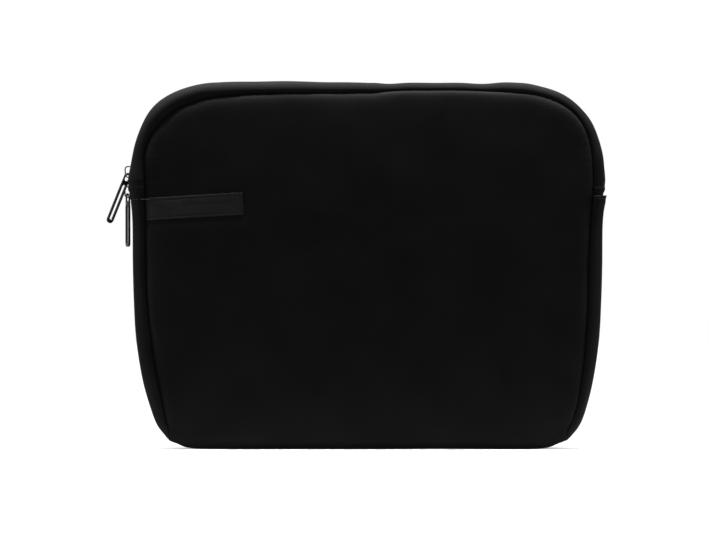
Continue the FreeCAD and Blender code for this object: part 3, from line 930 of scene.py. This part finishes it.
for front, side in SIDES:
    stitches = topstitch("zip_topstitch_" + side, front)
    dress(stitches, THREAD_LOOK, ["zip_thread_" + side], bends=front)


# ---------------------------------------------------------------- lining and binding

LINING_AT_ZIP = 10.5
LINING_OUTER = level(-NEOPRENE - 0.05)
LINING_INNER = level(-NEOPRENE - LINING)
GUSSET_LINING_LOW = 14
BINDING_LOW = 16
# The binding's section: "across" and height
BINDING_LOOP = ((21.0, -5.1), (24.5, -5.05), (27.5, -5.1), (28.0, -5.6), (27.5, -6.2),
                (24.5, -6.35), (21.0, -6.2), (20.4, -5.6))
FRONT_BINDINGS = ["seam_binding_front_upper", "seam_binding_front_left",
                  "seam_binding_front_right"]


def gusset_lining_loop(index):
    """The gusset lining's section, just inside the seams."""
    front, back = SEAM_FRONT[index] * 0.97, SEAM_BACK[index] * 0.97
    outer = [(front * share, -NEOPRENE - 0.1) for share in (1, 0.75, 0.5, 0.25)]
    outer += [(-back * share, -NEOPRENE - 0.1) for share in (0, 0.25, 0.5, 0.75, 1)]
    inner = [(-back * share, -NEOPRENE - LINING) for share in (1, 0.75, 0.5, 0.25)]
    inner += [(front * share, -NEOPRENE - LINING) for share in (0, 0.25, 0.5, 0.75, 1)]
    return outer + inner


for front, side in SIDES:
    edge = np.where(Z > ZIP_END, LINING_AT_ZIP, SEAM_FRONT if front else SEAM_BACK)
    cloth = face_sheet("lining_" + side, edge, front, LINING_OUTER, LINING_INNER, LINING_ROWS,
                       NEOPRENE + LINING / 2)
    nodes = ["lining_wrap", "lining_front_upper"] if front else ["lining_wrap"]
    dress(cloth, PILE_LOOK, nodes, bends=front)

for hand, index in GUSSETS:
    index = index[Z[index] > GUSSET_LINING_LOW]
    cloth = sweep("lining_gusset_%s_cloth" % hand, index, gusset_lining_loop(index))
    dress(cloth, PILE_LOOK, ["lining_gusset_" + hand])

for front, side in SIDES:
    tape = sweep("seam_binding_%s_tape" % side, ALL[Z > BINDING_LOW], BINDING_LOOP, front)
    nodes = FRONT_BINDINGS if front else ["seam_binding_back"]
    dress(tape, BINDING_LOOK, nodes, bends=front)


# ---------------------------------------------------------------- label

LABEL_COLUMNS = 200
LABEL_ROWS = 48
LABEL_EDGE = 0.45
LABEL_UNDER = -0.4
BAR_COUNT = 12
BAR_START = -8.5
BAR_PITCH = 3.3
BAR_HEIGHT = 1.6
BAR_DEPTH = 0.28
GROOVE_DEPTH = 0.34
GROOVE_WIDTH = 0.55
LABEL_THREAD_LEVEL = LABEL_THICK - 0.26
# Pitch, length, thread radius and how far the ends sink
LABEL_STITCH = (2.6, 2.1, 0.17, 0.25)


def front_depth(x, z):
    """Distance of the front sheet's surface from the middle plane."""
    side = np.interp(z, Z[LEFT_SIDE], X[LEFT_SIDE])
    distance = np.maximum(x - side - LEFT_INSET, 0)
    uneven = front_slow(distance, x, z) - label_dent(x, z)
    return HALF_DEPTH + crown(x, z) + seam_dip(distance) + uneven


def label_point(u, v, rise):
    """A point on the label from its own centre, u to the right and v up."""
    x = LABEL_X + u * math.cos(LABEL_TILT) - v * math.sin(LABEL_TILT)
    z = LABEL_Z + u * math.sin(LABEL_TILT) + v * math.cos(LABEL_TILT)
    return np.stack([x, -(front_depth(x, z) + rise), z], axis=-1)


def span(value, half):
    """1 up to a half width, and down to 0 a little beyond it."""
    return 1 - np.clip((np.abs(value) - half) / 0.3, 0, 1)


def pressed(u, v):
    """Depth of the pressed pattern, a plain row of short upright bars, and of the sewn groove."""
    bars = np.zeros(np.broadcast(u, v).shape)
    for number in range(BAR_COUNT):
        centre = BAR_START + number * BAR_PITCH
        bars = np.maximum(bars, span(u - centre, 0.75) * span(v - BAR_HEIGHT, 1.2))
    long_edges = bump(np.abs(v), LABEL_STITCH_V, GROOVE_WIDTH) * (u < LABEL_STITCH_U)
    free_end = bump(u, LABEL_STITCH_U, GROOVE_WIDTH) * (np.abs(v) < LABEL_STITCH_V)
    return BAR_DEPTH * bars + GROOVE_DEPTH * np.maximum(long_edges, free_end)


def label_rim():
    """The points round the edge of the label's grid, in order."""
    rim = list(range(LABEL_COLUMNS))
    rim += [row * LABEL_COLUMNS + LABEL_COLUMNS - 1 for row in range(1, LABEL_ROWS)]
    rim += [(LABEL_ROWS - 1) * LABEL_COLUMNS + column for column in range(LABEL_COLUMNS - 2, -1, -1)]
    rim += [row * LABEL_COLUMNS for row in range(LABEL_ROWS - 2, 0, -1)]
    return rim


def label_strip():
    """The label: a thin strip with soft edges, whose sides show its core."""
    u, v = np.meshgrid(np.linspace(-LABEL_LENGTH / 2, LABEL_LENGTH / 2, LABEL_COLUMNS),
                       np.linspace(-LABEL_WIDTH / 2, LABEL_WIDTH / 2, LABEL_ROWS))
    near_edge = np.minimum(LABEL_LENGTH / 2 - np.abs(u), LABEL_WIDTH / 2 - np.abs(v))
    inside = np.clip(LABEL_EDGE - near_edge, 0, LABEL_EDGE)
    soft = LABEL_EDGE - np.sqrt(np.maximum(LABEL_EDGE ** 2 - inside ** 2, 0))
    top = label_point(u, v, LABEL_THICK - pressed(u, v) - 0.8 * soft).reshape(-1, 3)
    under = label_point(u, v, LABEL_UNDER).reshape(-1, 3)
    total = len(top)
    faces = quads(LABEL_ROWS, LABEL_COLUMNS)
    faces += [tuple(corner + total for corner in reversed(quad)) for quad in faces]
    rim = label_rim()
    for corner, after in zip(rim, rim[1:] + rim[:1]):
        faces.append((after, corner, corner + total, after + total))
    thing = make("label_strip", np.concatenate([top, under]), faces)
    thing.data.materials.append(LABEL_LOOK)
    thing.data.materials.append(CORE_LOOK)
    for polygon in thing.data.polygons:
        centre = polygon.center / MM
        if centre.y > -front_depth(centre.x, centre.z) - LABEL_THICK * 0.3:
            polygon.material_index = 1
    return thing


label = label_strip()
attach(label, "sleeve_body")
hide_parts("label_patch")


def label_threads():
    """Stitches along the label's long edges and up its free end."""
    parts = []
    for v in (LABEL_STITCH_V, -LABEL_STITCH_V):
        def point(u, sunk, v=v):
            return label_point(u, np.full(len(u), v), LABEL_THREAD_LEVEL + sunk)
        parts += stitch_row((-LABEL_LENGTH / 2 + 0.5, LABEL_STITCH_U, point), *LABEL_STITCH)

    def upright(v, sunk):
        return label_point(np.full(len(v), LABEL_STITCH_U), v, LABEL_THREAD_LEVEL + sunk)
    return parts + stitch_row((-LABEL_STITCH_V, LABEL_STITCH_V, upright), *LABEL_STITCH)


label_stitches = gather("label_border_stitches", label_threads())
dress(label_stitches, DARK_THREAD_LOOK, ["label_stitching"])


# ---------------------------------------------------------------- sliders and pullers

BODIES = frame["record"]["behaviour"]["bodies"]
# Radius of the rounding along each casting's sharp edges
CAST_EDGES = {"upper_puller": 0.45, "lower_puller": 0.45, "upper_slider_body": 0.4,
              "lower_slider_body": 0.4, "upper_slider_bail": 0.25, "lower_slider_bail": 0.25}


def rounded(thing, radius):
    """A new mesh of an object with its sharp edges rounded."""
    bevel = thing.modifiers.new("edges", "BEVEL")
    bevel.width = radius * MM
    bevel.segments = 3
    bevel.limit_method = "ANGLE"
    bevel.angle_limit = math.radians(32)
    bevel.use_clamp_overlap = True
    graph = bpy.context.evaluated_depsgraph_get()
    mesh = bpy.data.meshes.new_from_object(thing.evaluated_get(graph))
    thing.modifiers.clear()
    return mesh


def cast_copy(node, radius):
    """A copy of a CAD node with its sharp edges rounded, in the same place."""
    mesh = bpy.data.objects[node].data.copy()
    mesh.materials.clear()
    thing = bpy.data.objects.new(node + "_cast", mesh)
    bpy.context.scene.collection.objects.link(thing)
    with editing(mesh) as work:
        bmesh.ops.remove_doubles(work, verts=work.verts, dist=1e-6)
        bmesh.ops.dissolve_limit(work, angle_limit=math.radians(2), verts=work.verts,
                                 edges=work.edges)
    thing.data = rounded(thing, radius)
    with editing(thing.data) as work:
        bmesh.ops.remove_doubles(work, verts=work.verts, dist=1e-6)
        bmesh.ops.dissolve_degenerate(work, edges=work.edges, dist=2e-6)
    thing.data.name = thing.name
    thing.data.polygons.foreach_set("use_smooth", [True] * len(thing.data.polygons))
    body = next(owner for owner, nodes in BODIES.items() if node in nodes)
    dress(thing, METAL_LOOK, [node], body)


for node, radius in CAST_EDGES.items():
    cast_copy(node, radius)


# ---------------------------------------------------------------- hem stitching

HEM_PITCH = 2.4
# Pitch, length, thread radius and how far the ends sink
HEM_STITCH = (HEM_PITCH, HEM_PITCH * 0.82, 0.17, 0.3)
HEM_REACH = FACE_START - 3.5
LOOSE_START = 17.0
LOOSE_END = FACE_START + 4.5
LOOSE_RADIUS = 0.15


def hem_line(hand, height):
    """Stitches across the top of a gusset, from the front seam round to the back seam."""
    where = left_along(height) if hand == "left" else 2 * TOP_MIDDLE - left_along(height)
    out = GUSSET_CROWN + FLARE[hand] * float(hem_flare(height)) - 0.6

    def point(across, sunk):
        near = np.clip((FACE_START - np.abs(across)) / 5, 0.2, 1)
        return place(where, across, out * near + sunk)
    return stitch_row((-HEM_REACH, HEM_REACH, point), *HEM_STITCH)


def loose_end(height):
    """The end of the left hem's thread, which runs on over the seam to the label."""
    share = np.linspace(0, 1, 24)
    across = LOOSE_START + (LOOSE_END - LOOSE_START) * share
    rise = 1.27 - 0.75 * share - 0.9 * np.clip(np.abs(share - 0.5) * 2, 0.8, 1)
    return tube(place(left_along(height) + 0.2 * np.sin(share * 3), across, rise), LOOSE_RADIUS)


left_hem = gather("gusset_hem_stitches_left", hem_line("left", 193.0) + [loose_end(192.9)])
dress(left_hem, THREAD_LOOK)
right_hem = gather("gusset_hem_stitches_right", hem_line("right", 193.6))
dress(right_hem, DARK_THREAD_LOOK)


# ---------------------------------------------------------------- stage, light and camera

FLOOR_SIZE = 8
CAMERA_DISTANCE = 3.0
CAMERA_X = -0.0097
CAMERA_HEIGHT = 0.1412
# Width of the picture at the sleeve's front, and that front's place
FRAME_WIDTH = 0.549
FRAME_Y = -0.01
SENSOR_WIDTH = 36


def lay_floor():
    """A wide pale floor that glows a little, so that it stays as pale as the room."""
    paper = Shader("floor_paper", Specular_IOR_Level=0.1, Roughness=0.9,
                   Base_Color=(0.86, 0.86, 0.86, 1), Emission_Color=(1, 1, 1, 1),
                   Emission_Strength=0.25)
    bpy.ops.mesh.primitive_plane_add(size=FLOOR_SIZE, location=(0, 0, 0))
    floor = bpy.context.object
    floor.name = "floor"
    floor.data.materials.append(paper.material)


def light_room():
    """Even white light from all round."""
    world = bpy.data.worlds.new("studio")
    bpy.context.scene.world = world
    world.use_nodes = True
    world.node_tree.nodes["Background"].inputs["Color"].default_value = (1, 1, 1, 1)
    world.node_tree.nodes["Background"].inputs["Strength"].default_value = 1.0


def area_light(name, location, aim, size, power, spread, glossy):
    """A soft rectangular light. Where glossy is False, no shiny surface mirrors it."""
    lamp = bpy.data.lights.new(name, "AREA")
    lamp.spread = math.radians(spread)
    lamp.shape = "RECTANGLE"
    lamp.size, lamp.size_y = size
    lamp.energy = power
    thing = bpy.data.objects.new(name, lamp)
    thing.location = location
    thing.rotation_euler = (Vector(aim) - Vector(location)).to_track_quat("-Z", "Y").to_euler()
    thing.visible_glossy = glossy
    bpy.context.scene.collection.objects.link(thing)


def aim_camera():
    """The camera looks straight at the front, along +Y."""
    lens = bpy.data.cameras.new("camera")
    lens.sensor_width = SENSOR_WIDTH
    lens.lens = SENSOR_WIDTH * CAMERA_DISTANCE / FRAME_WIDTH
    camera = bpy.data.objects.new("camera", lens)
    camera.location = (CAMERA_X, FRAME_Y - CAMERA_DISTANCE, CAMERA_HEIGHT)
    camera.rotation_euler = (math.pi / 2, 0, 0)
    bpy.context.scene.collection.objects.link(camera)
    bpy.context.scene.camera = camera


lay_floor()
light_room()
area_light("top_strip", (0.10, -0.010, 0.42), (0.10, -0.006, 0.2), (0.62, 0.04), 1.25, 26, True)
# The side lights only fill in the cloth, so that the dark metal doesn't mirror them
area_light("left_strip", (-0.75, 0.0, 0.16), (-0.18, 0.0, 0.14), (0.06, 0.26), 0.6, 45, False)
area_light("right_strip", (0.75, 0.0, 0.16), (0.18, 0.0, 0.14), (0.06, 0.26), 0.4, 45, False)
aim_camera()
bpy.context.scene.view_settings.view_transform = "Standard"
